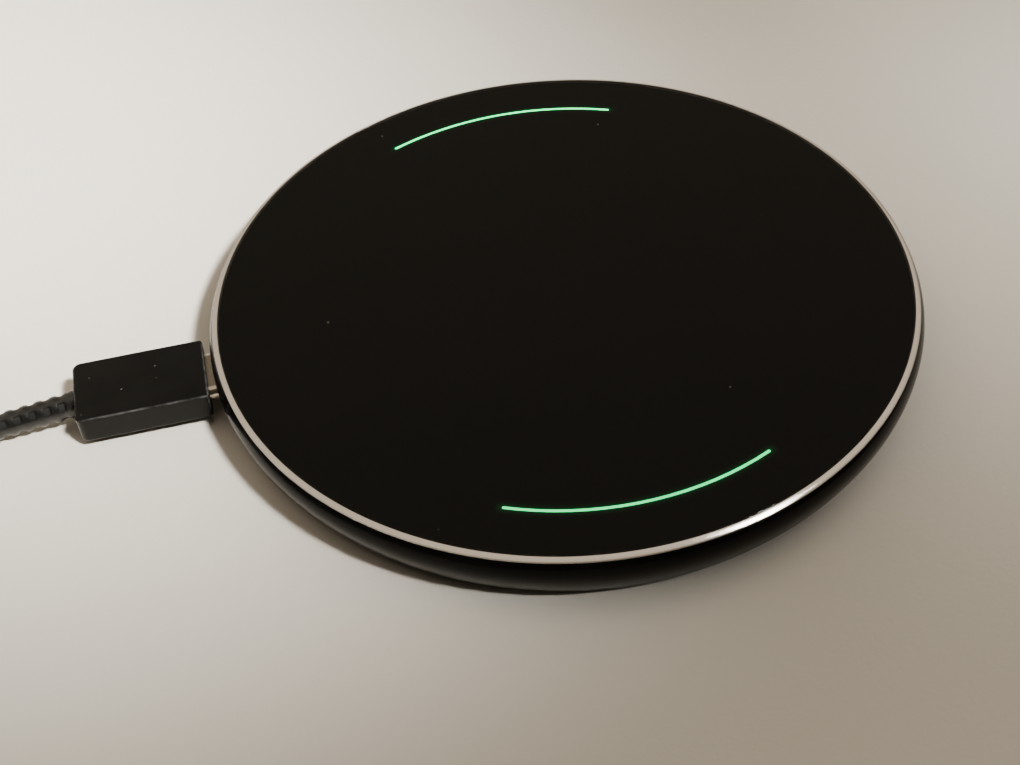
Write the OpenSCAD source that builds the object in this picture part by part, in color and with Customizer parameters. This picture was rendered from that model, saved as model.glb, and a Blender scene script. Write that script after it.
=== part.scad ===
// Round wireless charging pad: glass top, turned metal ring, plastic tub and a plug-in lead.
// Millimetres, +Z up. The origin is on the resting plane at the centre of the pad.
// The port and the lead are towards -X, the two light lines towards +Y and -Y.

/* [Body] */
// Largest diameter of the body
body_d = 100; // [99:0.5:104]
// Height from the resting plane to the top of the glass
body_h = 8.5; // [8.5:0.1:9]
// Thickness of the floor of the bottom shell
floor_t = 1.1; // [1:0.05:1.1]
// How far the rubber feet stand below the floor
foot_h = 0.5; // [0.4:0.05:0.5]
// Diameter of one rubber foot
foot_d = 10; // [8:0.5:11]

/* [Glass and ring] */
// Thickness of the glass
glass_t = 0.7; // [0.6:0.05:0.8]
// Visible width of the metal ring
ring_w = 0.75; // [0.7:0.05:0.95]
// Fall of the ring's slanted face from its inner to its outer edge
ring_fall = 0.35; // [0.2:0.05:0.4]

/* [Light lines] */
// Radius of the two light lines
line_r = 41.2; // [39:0.1:41.5]
// Width of a light line
line_w = 0.45; // [0.4:0.05:0.75]
// Angle that one light line spans, in degrees
line_angle = 51; // [30:1:54]
// Number of LEDs below one light line
line_leds = 5; // [3:1:7]

/* [Charging coil] */
// Number of turns in the charging coil
coil_turns = 13; // [8:1:13]
// Radius of the innermost turn
coil_in_r = 11; // [10:0.5:11]
// Diameter of the coil's stranded wire
wire_d = 1; // [0.8:0.05:1.05]

/* [Port and plug] */
// Height of the port's axis above the resting plane
port_z = 3.55; // [3.5:0.01:3.6]
// Length of the plug's moulded body
plug_l = 18.05; // [16:0.05:20]
// Width of the plug's moulded body
plug_w = 11.4; // [10:0.1:12.3]
// Thickness of the plug's moulded body
plug_t = 4.1; // [3.8:0.1:4.5]
// Gap between the plug's moulded body and the widest point of the pad
plug_gap = 0.95; // [0.5:0.05:1.5]

/* [Lead] */
// Diameter of the cord
cord_d = 3; // [2.6:0.1:3]
// Diameter of the strain relief at the plug
relief_d = 3.8; // [3.6:0.1:4.2]
// Number of turns in each of the coil's two layers
layer_turns = 4; // [3:1:4]
// Thickness of the tie's strap
tie_t = 0.6; // [0.5:0.05:0.6]

/* [Hidden] */

$fn = 64;
slip = 0.05;        // clearance between parts that are pushed together
tiny = 0.01;        // how far a cutter runs past the face that it cuts

// Radii and heights of the body, from the outside in
body_r = body_d / 2;
glass_r = body_r - 1.5;
ring_r = glass_r + ring_w;
floor_z = foot_h + floor_t;
glass_z = body_h - glass_t;
film_t = 0.05;
tape_t = 0.1;
film_z = glass_z - film_t;
ledge_z = film_z - tape_t;
ledge_t = 0.55;
ledge_in_r = glass_r - 1.7;
skirt_r = glass_r + 0.1;
skirt_t = 0.7;
skirt_z = 5.5;
rim_thin_z = 4.2;
rim_z = body_h - 0.6;
flange_z = body_h - 0.5;

// Feet and the screws above them
foot_r = 38;
foot_sink = 0.3;
post_r = 2.7;
screw_r = 1;
screw_head_r = 1.8;
screw_head_t = 1.1;
screw_seat_z = 2;

// Main board
board_z = 2.3;
board_t = 1;
board_top = board_z + board_t;
board_r = body_r - 5.5;
board_screw_at = 30;
board_post_r = 2.2;
board_screw_r = 0.8;
board_screw_foot = 1.1;
board_pilot_r = 0.65;      // smaller than the screw, whose thread bites into it

// Coil carrier and what lies on it
carrier_z = film_z - 2.35;
carrier_t = 0.5;
carrier_top = carrier_z + carrier_t;
carrier_r = skirt_r - skirt_t - 0.2;
post_z = carrier_z - 1.4;     // where the shell's screw posts meet the carrier's
guide_wall_top = film_z - 0.45;
ferrite_z = carrier_top + tape_t;
ferrite_t = 0.5;
ferrite_r = 26.1;
core_hole_r = 4;
coil_z = ferrite_z + ferrite_t + wire_d / 2;
turn_pitch = wire_d + 0.08;
coil_out_r = coil_in_r + (coil_turns - 1) * turn_pitch;
lead_bend = 1.2;
lead_in_x = 2;
lead_out_x = 29.5;

// Light guides
guide_w = 0.8;
guide_z = 4;
led_size = [1.6, 0.8, 0.6];

// Port: the sizes of the common reversible connector
port_w = 8.34;
port_h = 2.56;
socket_wall = 0.3;
socket_x = -(body_r - 1.4);
socket_l = 7.35;
socket_back = socket_x + socket_l;
tongue_w = 6.69;
tongue_t = 0.7;
tongue_root = socket_back - 1.35;
tongue_tip = socket_x + 1.4;
pin_pitch = 0.5;
pin_w = 0.25;
pin_count = 12;

// Plug
plug_x = -(body_r + plug_gap);
plug_back = plug_x - plug_l;
shell_w = 8.25;
shell_h = 2.4;
shell_wall = 0.28;
shell_tip = plug_x + 6.65;
shell_root = plug_x - 5;
throat_w = 6.85;
throat_h = 0.95;
throat_l = 5.25;
plug_corner = 1.2;

// The lead: from the plug to the coil, and from the coil to the supply plug
cord_r = cord_d / 2;
route_in = [
    [-69, 0, 3.55], [-73, -0.25, 3.25], [-77, -0.5, 2.95], [-81, -0.75, 2.65],
    [-85, -1, 2.35], [-88, -1.2, 2.1], [-91, -1.45, 1.85], [-94, -1.75, 1.7],
    [-97, -2.05, 1.75], [-100, -2.3, 1.9], [-103.5, -2.45, 2.05], [-107, -2.5, 2.1],
    [-110, -2.5, 2.1]
];
route_out = [
    [-110, -2.5, 5.15], [-113, -2.5, 5.1], [-116.6, -2, 4.8], [-120, -0.6, 4.2],
    [-122.9, 1.6, 3.4], [-125.1, 4.5, 2.6], [-126.5, 7.9, 2], [-127, 11.5, 1.65],
    [-127, 14, 1.6], [-127, 17, 1.9], [-127, 19.75, 2.35], [-127, 22.5, 2.8],
    [-127, 25.25, 3.25], [-127, 28, 3.7]
];
relief_end = 4;     // place in route_in of the end of the plug's strain relief
supply_start = 9;   // place in route_out of the start of the supply plug's relief
relief_sunk = 0.4;  // how far a strain relief reaches into its plug
relief_tip_d = cord_d + 0.5;
relief_pitch = 2.05;
coil_centre = [-110, -26.5];
coil_mid_r = 18;
coil_half_w = layer_turns * cord_d / 2 + cord_r + 0.1;
coil_height = 2 * cord_d + 0.1;

// Supply plug, on the far end of the lead
supply_at = [-127, 28, 3.7];
supply_body = [17.5, 15.6, 7.4];
supply_w = 12;
supply_h = 4.5;
supply_wall = 0.3;
supply_l = 12;
supply_root = 9;

function bezier(p, n) = [
    for (i = [0 : n])
        let (t = i / n, s = 1 - t)
        s * s * s * p[0] + 3 * s * s * t * p[1] + 3 * s * t * t * p[2] + t * t * t * p[3]
];
function unit(v) = v / norm(v);
function heading(path, i) =
    unit(path[min(i + 1, len(path) - 1)] - path[max(i - 1, 0)]);

// Outer wall of the body, from the rim under the ring down to the floor
wall_curve = bezier([
    [ring_r, rim_z],
    [body_r + 0.82, 6.2],
    [body_r - 0.4, 3.4],
    [body_r - 2.1, foot_h + 0.2]
], 14);

// ---- shared shapes ----

// Places its children once at each case screw
module at_feet() {
    for (a = [45 : 90 : 315]) rotate(a) translate([foot_r, 0, 0]) children();
}

// Places its children once at each board screw
module at_board_screws() {
    for (a = [60, 180, 300]) rotate(a) translate([board_screw_at, 0, 0]) children();
}

// Upright cylinder from one height to another
module cylinder_from(z0, z1, r) {
    translate([0, 0, z0]) cylinder(z1 - z0, r = r);
}

// Upright cylinder at a place other than the origin
module cylinder_from_at(at, z0, z1, r) {
    translate([at[0], at[1], 0]) cylinder_from(z0, z1, r);
}

// Flat outline with round ends, which lies across X once it is extruded along X
module stadium(w, h) {
    square([h, w - h], center = true);
    for (s = [-1, 1]) translate([0, s * (w - h) / 2]) circle(d = h);
}

// Rectangle with round corners, which lies across X once it is extruded along X
module soft_box(w, h, r) {
    square([h, w - 2 * r], center = true);
    square([h - 2 * r, w], center = true);
    for (i = [-1, 1], j = [-1, 1]) translate([i * (h / 2 - r), j * (w / 2 - r)]) circle(r);
}

// Extrudes a flat outline along X from x0 to x1 at height z
module along_x(x0, x1, z = 0) {
    translate([x0, 0, z]) rotate([0, 90, 0]) linear_extrude(x1 - x0) children();
}

// Ring of rectangular section
module ring(r0, r1, z0, z1) {
    rotate_extrude() translate([r0, z0]) square([r1 - r0, z1 - z0]);
}

// Part of a ring that is centred on the +Y or -Y side
module arc_wall(side, r0, r1, z0, z1, angle) {
    rotate(side * 90 - angle / 2)
        rotate_extrude(angle = angle) translate([r0, z0]) square([r1 - r0, z1 - z0]);
}

// Small cuboid part that stands on the board
module chip(x, y, size) {
    translate([x - size[0] / 2, y - size[1] / 2, board_top]) cube(size);
}

// Tube swept along a route
module tube(path, r, sides = 8) {
    n = len(path);
    rings = [
        for (i = [0 : n - 1])
            let (d = heading(path, i), u = unit(cross([0, 0, 1], d)), v = cross(d, u))
            for (k = [0 : sides - 1])
                path[i] + r * (cos(360 * k / sides) * u + sin(360 * k / sides) * v)
    ];
    walls = [
        for (i = [0 : n - 2], k = [0 : sides - 1])
            let (m = (k + 1) % sides)
            [i * sides + k, (i + 1) * sides + k, (i + 1) * sides + m, i * sides + m]
    ];
    start_cap = [for (k = [0 : sides - 1]) k];
    end_cap = [for (k = [sides - 1 : -1 : 0]) (n - 1) * sides + k];
    polyhedron(rings, concat(walls, [start_cap, end_cap]));
}

// Tapered sleeve with slots, drawn along +X from the plug towards the cord
module relief(length, root_d) {
    collar = 1.2;
    slot = [0.9, 1.3, 1];
    slots = floor((length - collar - 1) / relief_pitch);
    difference() {
        rotate([0, 90, 0]) cylinder(length, root_d / 2, relief_tip_d / 2);
        translate([-tiny, 0, 0]) rotate([0, 90, 0]) cylinder(length + 2 * tiny, r = cord_r);
        for (i = [0 : slots - 1], a = [45 : 90 : 315])
            translate([collar + (i + 0.5) * relief_pitch, 0, 0])
                rotate([a, 0, 0])
                    translate([-slot[0] / 2, -slot[1] / 2, cord_r - 0.2]) cube(slot);
    }
}

// Turns and moves its children so that their +X axis runs from one point to another
module aimed(from, to) {
    d = to - from;
    translate(from)
        rotate([0, -atan2(d[2], norm([d[0], d[1]])), atan2(d[1], d[0])])
            children();
}

// ---- bottom half ----

module bottom_shell() {
    wall_foot = wall_curve[len(wall_curve) - 1];
    outline = concat(
        [[0, foot_h], [wall_foot[0] - 0.5, foot_h]],
        [for (i = [len(wall_curve) - 1 : -1 : 0]) wall_curve[i]],
        [
            [skirt_r + slip, rim_z],
            [skirt_r + slip, skirt_z],
            [skirt_r - skirt_t, skirt_z],
            [skirt_r - skirt_t, rim_thin_z],
            [body_r - 3.5, floor_z],
            [0, floor_z]
        ]
    );
    color("#161617")
    difference() {
        union() {
            rotate_extrude() polygon(outline);
            at_feet() cylinder_from(floor_z - tiny, post_z, post_r);
            at_board_screws() cylinder_from(floor_z - tiny, board_z, board_post_r);
        }
        at_feet() {
            translate([0, 0, foot_h - tiny]) cylinder(foot_sink + tiny, d = foot_d + 0.2);
            cylinder(screw_seat_z, r = screw_head_r + 0.2);
            cylinder(post_z + tiny, r = screw_r + 0.1);
        }
        at_board_screws() cylinder_from(board_screw_foot - 0.1, board_z + tiny, board_pilot_r);
        along_x(-body_r - 2, -body_r + 5, port_z) stadium(port_w + 1, port_h + 0.9);
    }
}

module rubber_feet() {
    edge = 0.2;
    color("#2a2a2b")
    at_feet() rotate_extrude() polygon([
        [0, 0],
        [foot_d / 2 - edge, 0],
        [foot_d / 2, edge],
        [foot_d / 2, foot_h + foot_sink],
        [0, foot_h + foot_sink]
    ]);
}

module case_screws() {
    shank_top = carrier_top + 0.4;
    drive = [1.5, 0.4, screw_seat_z - 0.5];
    color("#9a9aa0")
    at_feet() difference() {
        union() {
            translate([0, 0, screw_seat_z - screw_head_t]) cylinder(screw_head_t, r = screw_head_r);
            cylinder_from(screw_seat_z, shank_top, screw_r);
        }
        for (a = [0, 90])
            rotate(a) translate([-drive[0] / 2, -drive[1] / 2, 0]) cube(drive);
    }
}

module main_board() {
    color("#1f5a37")
    difference() {
        cylinder_from(board_z, board_top, board_r);
        at_feet() cylinder_from(board_z - tiny, board_top + tiny, post_r + 0.3);
        at_board_screws() cylinder_from(board_z - tiny, board_top + tiny, 0.95);
        translate([-body_r, -(port_w + 1) / 2, board_z - tiny])
            cube([body_r + socket_back + 0.2, port_w + 1, board_t + 2 * tiny]);
    }
}

module board_screws() {
    head_r = 1.5;
    drive = [1.4, 0.34, 1];
    color("#9a9aa0")
    at_board_screws() difference() {
        union() {
            cylinder_from(board_top, board_top + 1, head_r);
            cylinder_from(board_screw_foot, board_top, board_screw_r);
        }
        for (a = [0, 90])
            rotate(a) translate([-drive[0] / 2, -drive[1] / 2, board_top + 0.5]) cube(drive);
    }
}

// ---- port ----

module usb_socket_shell() {
    tab = [1.2, 1.2, 0.3];
    outer_w = port_w + 2 * socket_wall;
    color("#b9bbbf")
    difference() {
        union() {
            along_x(socket_x, socket_back, port_z) stadium(outer_w, port_h + 2 * socket_wall);
            for (x = [socket_x + 3.2, socket_back - 2], s = [-1, 1])
                translate([x, s * (outer_w / 2 + 0.4) - tab[1] / 2, board_top]) cube(tab);
        }
        along_x(socket_x - tiny, socket_back + tiny, port_z) stadium(port_w, port_h);
    }
}

module usb_socket_tongue() {
    color("#202022")
    union() {
        along_x(tongue_root, socket_back, port_z) stadium(port_w - slip, port_h - slip);
        translate([tongue_tip, -tongue_w / 2, port_z - tongue_t / 2])
            cube([tongue_root - tongue_tip + tiny, tongue_w, tongue_t]);
    }
}

// One row of contact strips on each side of the port's axis
module contact_rows(x0, x1, z0, z1) {
    for (i = [0 : pin_count - 1], s = [-1, 1])
        translate([
            x0,
            (i - (pin_count - 1) / 2) * pin_pitch - pin_w / 2,
            port_z + (s > 0 ? z0 : -z1)
        ])
            cube([x1 - x0, pin_w, z1 - z0]);
}

module usb_socket_contacts() {
    color("#c9a24a")
    contact_rows(tongue_tip + 0.3, tongue_root - 0.8, tongue_t / 2, tongue_t / 2 + 0.03);
}

// ---- parts on the board ----

module controller_chip() {
    color("#232325")
    chip(-24, 13, [7, 7, 0.9]);
}

module bridge_chips() {
    color("#232325")
    for (x = [-10, 2]) chip(x, -24, [6, 5, 1]);
}

module power_inductor() {
    color("#3a3a3d")
    chip(-27, -12, [6.6, 6.4, 1.5]);
}

module resonant_capacitors() {
    color("#b08a5a")
    for (i = [0 : 3]) chip(12 + 3.6 * i, -20, [2.5, 3.2, 1.5]);
}

module input_capacitors() {
    color("#b08a5a")
    for (y = [-11, -8, 8, 11]) chip(-36.5, y, [3.2, 1.6, 1.4]);
}

module small_components() {
    color("#4a4a4c")
    for (i = [0 : 4], j = [0 : 2]) chip(-14 + 3 * i, 9 + 2.4 * j, [1.6, 0.8, 0.5]);
}

module indicator_leds() {
    spread = line_angle * 0.8;
    color("#e8e6d8")
    for (side = [-1, 1], i = [0 : line_leds - 1])
        rotate(side * 90 + spread * (i / (line_leds - 1) - 0.5))
            translate([line_r - led_size[1] / 2, -led_size[0] / 2, board_top])
                cube([led_size[1], led_size[0], led_size[2]]);
}

// ---- charging coil and its carrier ----

module coil_carrier() {
    rim_w = 1.7;
    wall = 1;
    rib = [10, 0.8, 0.6];
    lead_slot = [2, 1.8, 2];
    color("#2b2b2d")
    difference() {
        union() {
            cylinder_from(carrier_z, carrier_top, carrier_r);
            ring(carrier_r - rim_w, carrier_r, carrier_top - tiny, ledge_z - ledge_t);
            ring(ferrite_r + 0.2, ferrite_r + 0.2 + wall, carrier_top - tiny, ledge_z - ledge_t);
            at_feet() cylinder_from(post_z, carrier_top + 1, 2.5);
            for (side = [-1, 1])
                arc_wall(side, line_r - 1.4, line_r + 1.4,
                         carrier_top - tiny, guide_wall_top, line_angle + 4);
            for (a = [0 : 15 : 345])
                if (a % 45 != 0 && a % 60 != 0)
                    rotate(a) translate([28, -rib[1] / 2, carrier_top - tiny]) cube(rib);
        }
        for (side = [-1, 1])
            arc_wall(side, line_r - guide_w / 2 - slip, line_r + guide_w / 2 + slip,
                     carrier_z - tiny, guide_wall_top + tiny, line_angle + 0.5);
        at_feet() cylinder_from(post_z - tiny, carrier_top + 0.6, 0.85);
        cylinder_from(carrier_z - tiny, carrier_top + tiny, core_hole_r);
        cylinder_from_at([lead_out_x, 0], carrier_z - tiny, carrier_top + tiny, 0.9);
        translate([ferrite_r, -lead_slot[1] / 2, carrier_top + tiny]) cube(lead_slot);
    }
}

module ferrite_tape() {
    color("#e6e2d2")
    ring(core_hole_r, ferrite_r - 0.6, carrier_top, ferrite_z);
}

module ferrite_disc() {
    color("#38383a")
    ring(core_hole_r, ferrite_r, ferrite_z, ferrite_z + ferrite_t);
}

module charging_coil() {
    color("#b5652f")
    for (i = [0 : coil_turns - 1])
        rotate_extrude() translate([coil_in_r + i * turn_pitch, coil_z]) circle(d = wire_d);
}

// Lead that runs along X at coil height and then turns down to the board.
// It starts at x = from, and its upright stretch is at x = to.
module coil_lead(from, to) {
    way = sign(to - from);
    turn_x = to - way * lead_bend;
    foot_z = board_top + slip;
    r = wire_d / 2;
    along_x(min(from, turn_x), max(from, turn_x), coil_z) circle(r);
    translate([turn_x, 0, coil_z - lead_bend])
        rotate([90, 0, 0]) rotate(way > 0 ? 0 : 90)
            rotate_extrude(angle = 90) translate([lead_bend, 0]) circle(r);
    cylinder_from_at([to, 0], foot_z, coil_z - lead_bend, r);
}

module coil_leads() {
    color("#b5652f")
    union() {
        coil_lead(coil_out_r + wire_d / 2, lead_out_x);
        coil_lead(coil_in_r - wire_d / 2, lead_in_x);
    }
}

module temperature_sensor() {
    bead_x = -1.4;
    color("#4c3a22")
    union() {
        translate([bead_x, 0, coil_z]) sphere(0.6);
        for (y = [-0.4, 0.4]) cylinder_from_at([bead_x, y], board_top, coil_z, 0.15);
    }
}

// ---- light guides ----

// One bar of clear plastic with a foot that stops against the carrier
module light_guide(side) {
    union() {
        arc_wall(side, line_r - guide_w / 2, line_r + guide_w / 2,
                 guide_z, film_z, line_angle);
        arc_wall(side, line_r - 0.9, line_r + 0.9, carrier_z - 0.6, carrier_z, line_angle);
    }
}

module light_guide_front() {
    color("#9df5b6") light_guide(-1);
}

module light_guide_rear() {
    color("#9df5b6") light_guide(1);
}

// ---- top half ----

module metal_ring() {
    color("#b3a79a")
    rotate_extrude() polygon([
        [glass_r, body_h],
        [ring_r, body_h - ring_fall],
        [ring_r, flange_z],
        [skirt_r, flange_z],
        [skirt_r, skirt_z],
        [skirt_r - skirt_t, skirt_z],
        [skirt_r - skirt_t, ledge_z - ledge_t],
        [ledge_in_r, ledge_z - ledge_t],
        [ledge_in_r, ledge_z],
        [glass_r, ledge_z]
    ]);
}

module glass_adhesive() {
    color("#cfcabb")
    ring(ledge_in_r + 0.1, glass_r - 0.2, ledge_z, ledge_z + tape_t);
}

// Opaque print behind the glass, with a clear window over each light guide
module mask_film() {
    z0 = glass_z - film_t;
    color("#0b0b0b")
    difference() {
        cylinder_from(z0, glass_z, glass_r - 0.1);
        for (side = [-1, 1]) {
            arc_wall(side, line_r - line_w / 2, line_r + line_w / 2,
                     z0 - tiny, glass_z + tiny, line_angle - 2);
            for (end = [-1, 1])
                rotate(side * 90 + end * (line_angle / 2 - 1))
                    cylinder_from_at([line_r, 0], z0 - tiny, glass_z + tiny, line_w / 2);
        }
    }
}

module top_glass() {
    edge = 0.12;
    r = glass_r - slip;
    color("#101010")
    rotate_extrude() polygon([
        [0, glass_z],
        [r, glass_z],
        [r, body_h - edge],
        [r - edge, body_h],
        [0, body_h]
    ]);
}

// ---- plug ----

module plug_housing() {
    mouth = plug_x - 6;
    color("#1e1e1c")
    difference() {
        translate([0, 0, port_z - plug_t / 2]) linear_extrude(plug_t) {
            translate([plug_back + plug_corner, -plug_w / 2])
                square([plug_l - plug_corner, plug_w]);
            translate([plug_back, plug_corner - plug_w / 2])
                square([2 * plug_corner, plug_w - 2 * plug_corner]);
            for (s = [-1, 1])
                translate([plug_back + plug_corner, s * (plug_w / 2 - plug_corner)])
                    circle(plug_corner);
        }
        along_x(shell_root, plug_x + tiny, port_z) stadium(shell_w + slip, shell_h + slip);
        along_x(mouth, shell_root + tiny, port_z) stadium(shell_w - 1, shell_h - 0.8);
    }
}

module plug_shell() {
    color("#c8c2b4")
    difference() {
        along_x(shell_root, shell_tip, port_z) stadium(shell_w, shell_h);
        along_x(shell_root - tiny, shell_tip + tiny, port_z)
            stadium(shell_w - 2 * shell_wall, shell_h - 2 * shell_wall);
    }
}

module plug_insert() {
    mouth = shell_tip - 0.3;
    inner_w = shell_w - 2 * shell_wall - slip;
    inner_h = shell_h - 2 * shell_wall - slip;
    color("#18181a")
    difference() {
        along_x(shell_root, mouth, port_z) stadium(inner_w, inner_h);
        along_x(mouth - throat_l, mouth + tiny, port_z)
            square([throat_h, throat_w], center = true);
    }
}

module plug_contacts() {
    mouth = shell_tip - 0.3;
    color("#c9a24a")
    contact_rows(mouth - throat_l + 0.2, mouth - 0.9, throat_h / 2 - 0.055, throat_h / 2);
}

module strain_relief() {
    run = norm(route_in[relief_end] - route_in[0]);
    color("#232324")
    aimed(route_in[0], route_in[relief_end])
        translate([-relief_sunk, 0, 0]) relief(run + relief_sunk, relief_d);
}

// ---- lead ----

module cord() {
    color("#232324")
    tube(route_in, cord_r);
}

module cord_end() {
    color("#232324")
    tube(route_out, cord_r);
}

// Outer shape of the two layers of turns
module cord_coil() {
    soft = 1.2;
    color("#2a2a2b")
    translate([coil_centre[0], coil_centre[1], tie_t])
        rotate_extrude() translate([coil_mid_r, coil_height / 2])
            soft_box(coil_height, 2 * coil_half_w, soft);
}

// Strap around the turns at the coil's -Y side
module cord_tie() {
    strap_w = 9;
    inner_r = coil_mid_r - coil_half_w;
    dip = inner_r - sqrt(inner_r * inner_r - strap_w * strap_w / 4);
    near = inner_r - dip - 0.1;
    far = coil_mid_r + coil_half_w + 0.1;
    color("#3c3c3e")
    translate([coil_centre[0], coil_centre[1], 0]) rotate(-90)
        translate([0, strap_w / 2, 0]) rotate([90, 0, 0]) linear_extrude(strap_w)
            difference() {
                translate([near - tie_t, 0])
                    square([far - near + 2 * tie_t, coil_height + 2 * tie_t + 0.1]);
                translate([near, tie_t]) square([far - near, coil_height + 0.1]);
            }
}

// ---- supply plug: drawn along +X, then turned towards +Y ----

module at_supply() {
    translate(supply_at) rotate(90) children();
}

module supply_relief() {
    start = route_out[supply_start];
    end = route_out[len(route_out) - 1];
    run = norm(end - start);
    color("#232324")
    aimed(end, start)
        translate([-relief_sunk, 0, 0]) relief(run + relief_sunk, relief_d + 0.4);
}

module supply_housing() {
    color("#1e1e1c")
    at_supply() difference() {
        along_x(0, supply_body[0]) soft_box(supply_body[1], supply_body[2], 1.4);
        along_x(supply_body[0] - supply_root, supply_body[0] + tiny)
            square([supply_h + slip, supply_w + slip], center = true);
    }
}

module supply_shell() {
    window = [2, 2.5, 2 * supply_h];
    color("#c8c9cc")
    at_supply() difference() {
        along_x(supply_body[0] - supply_root, supply_body[0] + supply_l)
            square([supply_h, supply_w], center = true);
        along_x(supply_body[0] - supply_root - tiny, supply_body[0] + supply_l + tiny)
            square([supply_h - 2 * supply_wall, supply_w - 2 * supply_wall], center = true);
        for (y = [-2.25, 2.25])
            translate([supply_body[0] + 5.1, y - window[1] / 2, -supply_h]) cube(window);
    }
}

module supply_insert() {
    block_t = 1.9;
    half_h = supply_h / 2 - supply_wall - slip / 2;
    wide = supply_w - 2 * supply_wall - slip;
    color("#e9e7e2")
    at_supply() union() {
        translate([supply_body[0] - supply_root, -wide / 2, -half_h])
            cube([supply_root + supply_l - 0.6, wide, block_t]);
        translate([supply_body[0] - supply_root, -wide / 2, -half_h])
            cube([supply_root, wide, 2 * half_h]);
    }
}

module supply_contacts() {
    pads = [-3.5, -1.1, 1.1, 3.5];
    pad_z = -(supply_h / 2 - supply_wall - slip / 2) + 1.9;
    color("#c9a24a")
    at_supply()
        for (y = pads)
            translate([supply_body[0] + 3, y - 0.5, pad_z]) cube([7.6, 1, 0.12]);
}

bottom_shell();
rubber_feet();
case_screws();
main_board();
board_screws();
usb_socket_shell();
usb_socket_tongue();
usb_socket_contacts();
controller_chip();
bridge_chips();
power_inductor();
resonant_capacitors();
input_capacitors();
small_components();
indicator_leds();
coil_carrier();
ferrite_tape();
ferrite_disc();
charging_coil();
coil_leads();
temperature_sensor();
light_guide_front();
light_guide_rear();
metal_ring();
glass_adhesive();
mask_film();
top_glass();
plug_housing();
plug_shell();
plug_insert();
plug_contacts();
strain_relief();
cord();
cord_coil();
cord_end();
cord_tie();
supply_relief();
supply_housing();
supply_shell();
supply_insert();
supply_contacts();
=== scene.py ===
import math

import bmesh
import bpy
from mathutils import Matrix, Vector


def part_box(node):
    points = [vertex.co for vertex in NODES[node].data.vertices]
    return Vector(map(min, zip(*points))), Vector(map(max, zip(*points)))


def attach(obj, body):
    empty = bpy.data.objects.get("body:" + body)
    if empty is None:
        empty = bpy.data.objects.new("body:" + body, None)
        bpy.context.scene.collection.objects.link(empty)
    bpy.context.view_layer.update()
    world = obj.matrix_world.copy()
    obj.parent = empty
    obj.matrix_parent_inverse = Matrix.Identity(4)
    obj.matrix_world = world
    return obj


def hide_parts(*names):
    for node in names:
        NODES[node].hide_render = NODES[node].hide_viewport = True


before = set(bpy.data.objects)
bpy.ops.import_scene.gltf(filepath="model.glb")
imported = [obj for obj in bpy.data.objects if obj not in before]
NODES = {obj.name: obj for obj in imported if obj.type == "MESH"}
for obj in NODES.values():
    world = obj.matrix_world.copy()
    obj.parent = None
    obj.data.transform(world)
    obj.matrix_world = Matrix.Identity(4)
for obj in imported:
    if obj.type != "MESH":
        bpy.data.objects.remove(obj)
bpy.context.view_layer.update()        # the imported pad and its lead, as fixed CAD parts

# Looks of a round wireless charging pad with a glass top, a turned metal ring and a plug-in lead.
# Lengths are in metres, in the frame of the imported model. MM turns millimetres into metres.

MM = 0.001
TURN = 2 * math.pi

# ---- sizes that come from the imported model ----

SHELL_LOW, SHELL_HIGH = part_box("bottom_shell")
GLASS_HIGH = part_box("top_glass")[1]
FILM_LOW, FILM_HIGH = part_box("mask_film")
RING_LOW, RING_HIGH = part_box("metal_ring")
FEET_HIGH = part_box("rubber_feet")[1]
PLUG_LOW, PLUG_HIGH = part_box("plug_housing")
PLUG_SHELL_LOW, PLUG_SHELL_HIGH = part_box("plug_shell")
SUPPLY_LOW, SUPPLY_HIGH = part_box("supply_housing")
SUPPLY_SHELL_LOW, SUPPLY_SHELL_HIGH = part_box("supply_shell")
TIE_LOW, TIE_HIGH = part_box("cord_tie")

TOP_Z = GLASS_HIGH.z
PORT_Z = (PLUG_LOW.z + PLUG_HIGH.z) / 2
RING_R = RING_HIGH.x

# ---- sizes that the boxes don't give, as in the CAD source ----

BODY_R = 50 * MM
FLOOR_Z = SHELL_LOW.z + 1.1 * MM         # top of the tub's floor
GLASS_R = 48.5 * MM
SKIRT_R = GLASS_R + 0.1 * MM             # outside of the ring's skirt, which stands in the tub
SKIRT_T = 0.7 * MM
LINE_R = 41.2 * MM
LINE_HALF_ANGLE = 25.5
CASE_POST_Z = FILM_LOW.z - 3.75 * MM     # top of the tub's posts for the case screws
CASE_POST_R = 2.7 * MM
CASE_HOLE_R = 1.1 * MM
BOARD_POST_Z = FILM_LOW.z - 5.45 * MM    # top of its posts for the circuit board
BOARD_POST_R = 2.2 * MM
BOARD_HOLE_R = 0.65 * MM
FOOT_R = 5 * MM
FOOT_RECESS_R = 5.1 * MM
SCREW_HEAD_R = 2 * MM                    # recess for a case screw's head, above the foot
SCREW_HEAD_Z = 2 * MM
PORT_HOLE = (9.34 * MM, 3.46 * MM)       # width and height of the port's hole in the tub

# ---- the lead's route, as in the CAD source ----

CORD_D = 3 * MM
ROUTE_IN = [
    (-69, 0, 3.55), (-73, -0.25, 3.25), (-77, -0.5, 2.95), (-81, -0.75, 2.65),
    (-85, -1, 2.35), (-88, -1.2, 2.1), (-91, -1.45, 1.85), (-94, -1.75, 1.7),
    (-97, -2.05, 1.75), (-100, -2.3, 1.9), (-103.5, -2.45, 2.05), (-107, -2.5, 2.1),
    (-110, -2.5, 2.1),
]
ROUTE_OUT = [
    (-110, -2.5, 5.15), (-113, -2.5, 5.1), (-116.6, -2, 4.8), (-120, -0.6, 4.2),
    (-122.9, 1.6, 3.4), (-125.1, 4.5, 2.6), (-126.5, 7.9, 2), (-127, 11.5, 1.65),
    (-127, 14, 1.6), (-127, 17, 1.9), (-127, 19.75, 2.35), (-127, 22.5, 2.8),
    (-127, 25.25, 3.25), (-127, 28, 3.7),
]
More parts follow.
